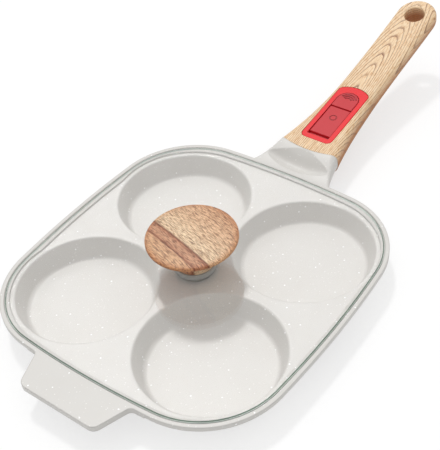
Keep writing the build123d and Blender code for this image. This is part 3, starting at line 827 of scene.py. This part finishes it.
@dataclass(frozen=True)
class Metal(Finish):
    """A bare metal surface, drawn from its alloy and its last machining step."""

    colour: str = "#c9c9c7"
    worn: str = "#b5b5b2"
    roughness: float = 0.3
    # Shares of the roughness that the polish varies between
    smoothest: float = 0.8
    roughest: float = 1.25
    patch_pitch: float = 2.5
    marks_a_patch: float = 4.0
    groove_depth: float = 0.01
    edge: float = 0.15

    def height(self, tree: NodeTree, place: Socket) -> Socket:
        """Add the marks that the last machining step left.

        Args:
            tree: The material's node tree.
            place: The point on the object, in metres.

        Returns:
            The marks' height, from 0 to 1.
        """
        return self.noise(tree, place, self.patch_pitch / self.marks_a_patch, Scaling.EVEN, detail=3.0)

    def surface(self, tree: NodeTree, place: Socket) -> Socket:
        """Add the metal's tone, its uneven polish and its machining marks.

        Args:
            tree: The material's node tree.
            place: The point on the object, in metres.

        Returns:
            The shader's output socket.
        """
        patch = self.noise(tree, place, self.patch_pitch, Scaling.EVEN, detail=3.0)
        tone = mix(tree, patch, self.worn, self.colour)
        polish = add_node(
            tree,
            "ShaderNodeMapRange",
            sockets={
                "Value": patch,
                "To Min": self.roughness * self.smoothest,
                "To Max": self.roughness * self.roughest,
            },
        )
        shader = add_node(
            tree,
            "ShaderNodeBsdfPrincipled",
            sockets={
                "Base Color": tone,
                "Metallic": 1.0,
                "Roughness": polish.outputs[0],
                "Normal": self.relief(tree, self.height(tree, place), self.groove_depth, self.edge),
            },
        )
        return shader.outputs[0]


@dataclass(frozen=True)
class SpunSteel(Metal):
    """Ferritic stainless steel, faced on a lathe after pressing.

    The tool leaves fine rings round the middle of each disc.
    """

    cup_x: float = 52.7
    cup_y: float = 54.25
    # The tool's real feed is about 0.2 mm, drawn coarser so that it shows
    feed: float = 0.8

    def height(self, tree: NodeTree, place: Socket) -> Socket:
        """Add rings round the middle of the nearest cup.

        Args:
            tree: The material's node tree.
            place: The point on the object, in metres.

        Returns:
            The rings' height, from -1 to 1.
        """
        mirrored = add_node(tree, "ShaderNodeVectorMath", {"operation": "ABSOLUTE"}, {0: place})
        centred = add_node(
            tree,
            "ShaderNodeVectorMath",
            {"operation": "SUBTRACT"},
            {0: mirrored.outputs[0], 1: (self.cup_x * MM, self.cup_y * MM, 0.0)},
        )
        radius = add_node(tree, "ShaderNodeVectorMath", {"operation": "LENGTH"}, {0: centred.outputs[0]})
        turns = calculate(tree, "MULTIPLY", radius.outputs["Value"], math.tau / (self.feed * MM))
        return calculate(tree, "SINE", turns)


class Finishes:
    """One material for each material slot of the record."""

    by_slot: dict[str, Finish] = {
        "coated_aluminium": CeramicCoat("sprayed_ceramic_on_cast_aluminium"),
        "disc_steel": SpunSteel(
            "faced_ferritic_stainless", colour="#c4c3c0", roughness=0.34, groove_depth=0.03
        ),
        "tongue_steel": Metal("punched_stainless_sheet", colour="#c8c8c6", roughness=0.36),
        "screw_steel": Metal("nickel_plated_screw_steel", colour="#d2d0cb", worn="#b9b6af", roughness=0.24),
        "clear_glass": TemperedGlass("tempered_soda_lime_glass"),
        "acacia": TurnedAcacia("turned_oiled_acacia"),
        "ash": OiledAsh("sawn_oiled_ash"),
        "grey_silicone": MouldedSilicone("moulded_grey_silicone"),
        "clear_silicone": MouldedSilicone(
            "moulded_clear_silicone", colour="#eceff0", deep="#e2e6e8", roughness=0.4, see_through=0.6
        ),
        "insert_brass": Metal("turned_brass", colour="#cfae62", worn="#b79551", roughness=0.3),
        "red_plastic": MouldedPlastic("moulded_red_abs"),
        "dark_red_plastic": MouldedPlastic("moulded_dark_red_abs", colour="#cc2630", deep="#c2202a"),
        "grey_plastic": MouldedPlastic(
            "moulded_grey_nylon",
            colour="#8d8e90",
            deep="#828386",
            groove_painted_shade="#4c4d4f",
            edge_shade_strength=0.2,
            roughness=0.48,
        ),
        "white_plastic": MouldedPlastic(
            "moulded_white_acetal",
            colour="#ecebe7",
            deep="#e2e0da",
            groove_painted_shade="#a9a79f",
            edge_shade_strength=0.2,
            roughness=0.4,
        ),
        "bolt_steel": Metal("ground_spring_steel", colour="#b8b9ba", worn="#9fa0a2", roughness=0.26),
    }

    def __init__(self) -> None:
        """Build every material once."""
        self.materials = {slot: finish.build() for slot, finish in self.by_slot.items()}

    def dress(self, piece: bpy.types.Object, slot: str) -> None:
        """Give a piece the finish of one slot.

        Args:
            piece: The object to dress.
            slot: Name of the record's material slot.
        """
        if not piece.material_slots:
            piece.data.materials.append(self.materials[slot])
        for worn in piece.material_slots:
            worn.material = self.materials[slot]


@dataclass(frozen=True)
class Assembly:
    """A group of the pan's pieces that is dressed together."""

    finishes: Finishes
    slots: dict[str, str] = field(default_factory=dict)

    def dress(self) -> None:
        """Give each CAD piece of the group its finish and report it."""
        for node, slot in self.slots.items():
            self.finishes.dress(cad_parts[node], slot)
            log.info("dressed %s in %s", node, slot)


@dataclass(frozen=True)
class Pan(Assembly):
    """Cast pan with its induction discs and the tongue that carries the handle."""

    slots: dict[str, str] = field(
        default_factory=lambda: {
            "pan_body": "coated_aluminium",
            "induction_disc_1": "disc_steel",
            "induction_disc_2": "disc_steel",
            "induction_disc_3": "disc_steel",
            "induction_disc_4": "disc_steel",
            "tongue_plate": "tongue_steel",
            "tongue_screws": "screw_steel",
        }
    )


@dataclass(frozen=True)
class Lid(Assembly):
    """Glass lid with its wooden knob and the screw that holds it."""

    slots: dict[str, str] = field(
        default_factory=lambda: {
            "lid_glass": "clear_glass",
            "knob": "acacia",
            "knob_collar": "grey_silicone",
            "knob_insert": "insert_brass",
            "lower_gasket": "clear_silicone",
            "knob_washer": "screw_steel",
            "knob_screw": "screw_steel",
        }
    )


@dataclass(frozen=True)
class Handle(Assembly):
    """Detachable wooden grip with its latch, bolt, push button and return spring."""

    slots: dict[str, str] = field(
        default_factory=lambda: {
            "handle_grip": "ash",
            "socket_liner": "grey_plastic",
            "bolt_guide": "white_plastic",
            "release_cover": "red_plastic",
            "cover_screws": "screw_steel",
            "slide_latch": "dark_red_plastic",
            "latch_bolt": "bolt_steel",
            "bolt_pin": "bolt_steel",
            "lock_button": "dark_red_plastic",
        }
    )
    spring_reach: float = 60.6
    spring_floor_depth: float = 10.5
    spring_top_depth: float = 4.0
    spring_radius: float = 2.85
    spring_wire: float = 0.7
    spring_turns: float = 5.0
    spring_closed_turns: float = 0.8
    # Rise of a closed turn, as a share of the wire
    spring_closed_rise: float = 0.5
    spring_steps_a_turn: int = 28
    spring_sides: int = 10
    button_travel: float = 2.0

    def point(self, across: float, reach: float, height: float) -> Vector:
        """A point of the handle's own frame, in the row's frame.

        Args:
            across: Distance to the right, in millimetres.
            reach: Distance along the handle from its joint, in millimetres.
            height: Height square to the crest, in millimetres.

        Returns:
            The same point in metres.
        """
        slope = math.radians(HANDLE_TILT)
        return Vector(
            (
                across * MM,
                (JOINT_Y + reach * math.cos(slope) - height * math.sin(slope)) * MM,
                (JOINT_Z + reach * math.sin(slope) + height * math.cos(slope)) * MM,
            )
        )

    def spring_height(self, turn: float) -> float:
        """Height of the wire's middle after so many turns, with closed and ground ends.

        Args:
            turn: Turns wound from the spring's foot.

        Returns:
            The height square to the crest, in millimetres.
        """
        foot = -self.spring_floor_depth + self.spring_wire / 2
        head = -self.spring_top_depth - self.spring_wire / 2
        open_turns = self.spring_turns - 2 * self.spring_closed_turns
        climb = min(max((turn - self.spring_closed_turns) / open_turns, 0.0), 1.0)
        closed_below = min(turn, self.spring_closed_turns)
        closed_above = max(turn - self.spring_turns + self.spring_closed_turns, 0.0)
        closed = self.spring_wire * closed_below * self.spring_closed_rise
        closed += self.spring_wire * closed_above * self.spring_closed_rise
        rise = head - foot - 2 * self.spring_closed_turns * self.spring_wire * self.spring_closed_rise
        return foot + closed + rise * climb

    def build_spring(self) -> bpy.types.Object:
        """Wind the button's return spring as a real coil.

        Returns:
            The coil, which stands for the plain sleeve of the frame.
        """
        sides = self.spring_sides
        steps = int(self.spring_turns * self.spring_steps_a_turn)
        mesh = bmesh.new()
        rings = []
        up = (self.point(0, 0, 1) - self.point(0, 0, 0)).normalized()
        for step in range(steps + 1):
            turn = step / self.spring_steps_a_turn
            angle = math.tau * turn
            outward = Vector((math.cos(angle), math.sin(angle), 0))
            centre = self.point(
                self.spring_radius * outward.x,
                self.spring_reach + self.spring_radius * outward.y,
                self.spring_height(turn),
            )
            middle = self.point(0, self.spring_reach, self.spring_height(turn))
            aside = (centre - middle).normalized()
            ring = []
            for side in range(sides):
                around = math.tau * side / sides
                offset = (aside * math.cos(around) + up * math.sin(around)) * (self.spring_wire / 2 * MM)
                ring.append(mesh.verts.new(centre + offset))
            rings.append(ring)
        for before, after in zip(rings, rings[1:]):
            for side in range(sides):
                following = (side + 1) % sides
                mesh.faces.new((before[side], before[following], after[following], after[side]))
        mesh.faces.new(list(reversed(rings[0])))
        mesh.faces.new(rings[-1])
        bmesh.ops.recalc_face_normals(mesh, faces=mesh.faces)
        data = bpy.data.meshes.new("button_spring_coil")
        mesh.to_mesh(data)
        mesh.free()
        data.shade_smooth()
        coil = bpy.data.objects.new("button_spring_coil", data)
        bpy.context.scene.collection.objects.link(coil)
        return coil

    def dress(self) -> None:
        """Dress the CAD pieces and put the wound spring in place of its sleeve."""
        super().dress()
        coil = self.build_spring()
        self.finishes.dress(coil, "bolt_steel")
        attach(coil, "handle")
        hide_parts("button_spring")
        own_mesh(coil)
        log.info("wound %s with %.1f turns", coil.name, self.spring_turns)


@dataclass(frozen=True)
class Studio:
    """Pale floor, soft white surroundings, one key lamp and the camera."""

    floor_half: float = 6000.0
    floor_drop: float = 0.15
    paper: str = "#e8e8e8"
    seen_paper: str = "#9f9f9f"
    zenith_strength: float = 0.92
    horizon_strength: float = 0.42
    floor_glow: float = 0.66
    key_strength: float = 1.0
    key_spread: float = 7.0
    key_direction: tuple[float, float, float] = (-11.9, 8.7, 31.0)
    # Camera angles in radians
    camera_azimuth: float = 0.7130
    camera_elevation: float = 0.7408
    camera_roll: float = -0.1124
    camera_distance: float = 692.4
    camera_target: tuple[float, float, float] = (-10.3, 42.05, 22.65)
    camera_lens: float = 77.24
    camera_sensor: float = 36.0
    camera_near: float = 10.0
    camera_far: float = 50000.0

    def behind_the_object(self, tree: NodeTree) -> Socket:
        """Tell what the camera sees from what only lights the pan.

        Args:
            tree: The node tree of the floor or of the surroundings.

        Returns:
            1 for what the camera sees directly, in a reflection or through glass.
        """
        path = add_node(tree, "ShaderNodeLightPath")
        direct = calculate(tree, "MAXIMUM", path.outputs["Is Camera Ray"], path.outputs["Is Glossy Ray"])
        return calculate(tree, "MAXIMUM", direct, path.outputs["Is Transmission Ray"])

    def build_floor(self) -> None:
        """Lay the pale floor.

        It glows only where it is seen directly, in a reflection or through glass, which makes
        it look white without more light on the pan.
        """
        half = self.floor_half * MM
        drop = -self.floor_drop * MM
        ends = [(-half, -half, drop), (half, -half, drop), (half, half, drop), (-half, half, drop)]
        data = bpy.data.meshes.new("studio_floor")
        data.from_pydata(ends, [], [(0, 1, 2, 3)])
        floor = bpy.data.objects.new("studio_floor", data)
        bpy.context.scene.collection.objects.link(floor)
        material = bpy.data.materials.new("white_paper_floor")
        material.use_nodes = True
        tree = material.node_tree
        tree.nodes.clear()
        paper = add_node(tree, "ShaderNodeBsdfDiffuse", sockets={"Color": self.paper})
        seen_paper = add_node(tree, "ShaderNodeBsdfDiffuse", sockets={"Color": self.seen_paper})
        glow = add_node(
            tree, "ShaderNodeEmission", sockets={"Color": "#ffffff", "Strength": self.floor_glow}
        )
        bright = add_node(
            tree, "ShaderNodeAddShader", sockets={0: seen_paper.outputs[0], 1: glow.outputs[0]}
        )
        seen = self.behind_the_object(tree)
        both = add_node(
            tree, "ShaderNodeMixShader", sockets={0: seen, 1: paper.outputs[0], 2: bright.outputs[0]}
        )
        add_node(tree, "ShaderNodeOutputMaterial", sockets={"Surface": both.outputs[0]})
        data.materials.append(material)

    def build_light(self) -> None:
        """Light the pan softly from all round, with a key lamp from behind on the left."""
        world = bpy.data.worlds.new("studio_surroundings")
        world.use_nodes = True
        tree = world.node_tree
        tree.nodes.clear()
        seen = self.behind_the_object(tree)
        direction = add_node(tree, "ShaderNodeTexCoord").outputs["Generated"]
        rise = add_node(tree, "ShaderNodeSeparateXYZ", sockets={0: direction}).outputs["Z"]
        dome = add_node(
            tree,
            "ShaderNodeMapRange",
            sockets={"Value": rise, "To Min": self.horizon_strength, "To Max": self.zenith_strength},
        )
        strength = add_node(
            tree,
            "ShaderNodeMapRange",
            sockets={"Value": seen, "To Min": dome.outputs[0], "To Max": 1.0},
        )
        sky = add_node(
            tree, "ShaderNodeBackground", sockets={"Color": "#ffffff", "Strength": strength.outputs[0]}
        )
        add_node(tree, "ShaderNodeOutputWorld", sockets={"Surface": sky.outputs[0]})
        bpy.context.scene.world = world
        lamp = bpy.data.lights.new("key_lamp", "SUN")
        lamp.energy = self.key_strength
        lamp.angle = math.radians(self.key_spread)
        key = bpy.data.objects.new("key_lamp", lamp)
        key.rotation_mode = "QUATERNION"
        key.rotation_quaternion = Vector(self.key_direction).to_track_quat("Z", "Y")
        bpy.context.scene.collection.objects.link(key)

    def build_camera(self) -> None:
        """Set the camera where the photographer stood."""
        azimuth = self.camera_azimuth
        elevation = self.camera_elevation
        back = Vector(
            (
                math.sin(azimuth) * math.cos(elevation),
                -math.cos(azimuth) * math.cos(elevation),
                math.sin(elevation),
            )
        )
        level_right = (-back).cross(Vector((0, 0, 1))).normalized()
        level_up = level_right.cross(-back)
        roll = self.camera_roll
        right = math.cos(roll) * level_right + math.sin(roll) * level_up
        up = -math.sin(roll) * level_right + math.cos(roll) * level_up
        place = (Vector(self.camera_target) + back * self.camera_distance) * MM
        data = bpy.data.cameras.new("photo_camera")
        data.lens = self.camera_lens
        data.sensor_width = self.camera_sensor
        data.sensor_fit = "AUTO"
        data.clip_start = self.camera_near * MM
        data.clip_end = self.camera_far * MM
        camera = bpy.data.objects.new("photo_camera", data)
        camera.matrix_world = Matrix(
            (
                (right.x, up.x, back.x, place.x),
                (right.y, up.y, back.y, place.y),
                (right.z, up.z, back.z, place.z),
                (0, 0, 0, 1),
            )
        )
        bpy.context.scene.collection.objects.link(camera)
        bpy.context.scene.camera = camera


def main() -> None:
    """Dress the pan, light it and place the camera."""
    logging.basicConfig(level=logging.INFO, format="%(message)s")
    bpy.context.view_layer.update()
    finishes = Finishes()
    for assembly in (Pan(finishes), Lid(finishes), Handle(finishes)):
        assembly.dress()
    studio = Studio()
    studio.build_floor()
    studio.build_light()
    studio.build_camera()
    bpy.context.scene.view_settings.view_transform = "Standard"
    log.info("scene ready")


if __name__ == "__main__":
    main()
